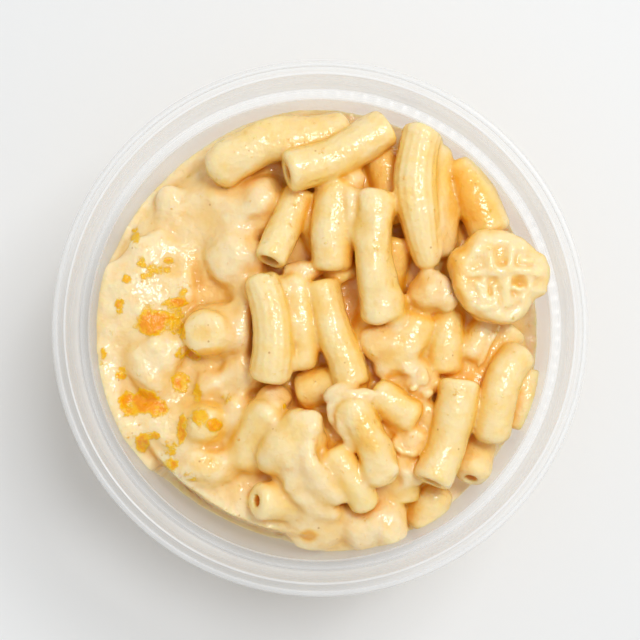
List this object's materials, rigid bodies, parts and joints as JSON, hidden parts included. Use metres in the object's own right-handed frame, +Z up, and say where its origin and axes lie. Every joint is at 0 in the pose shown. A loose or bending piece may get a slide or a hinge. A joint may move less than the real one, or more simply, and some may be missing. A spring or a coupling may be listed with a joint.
{
  "type": "tub of macaroni and cheese",
  "caption": "Round open plastic takeaway tub filled with macaroni in thick cheese sauce, with browned cheese on one side.",
  "frame": {"origin": "centre of the tub's base, on the surface it stands on", "axes": "+Z up out of the tub's mouth, browned side of the food towards -X, wheel-shaped pasta towards +X"},
  "size_m": [0.117, 0.117, 0.073],
  "materials": {
    "tub_plastic": "satin translucent",
    "cheese_sauce": "wet gloss",
    "macaroni": "wet satin",
    "wheel_pasta": "wet satin"
  },
  "bodies": {
    "root": {"tub": "tub_plastic", "cheese_sauce": "cheese_sauce", "macaroni_heap": "macaroni", "wheel_pasta": "wheel_pasta"}
  },
  "joints": []
}
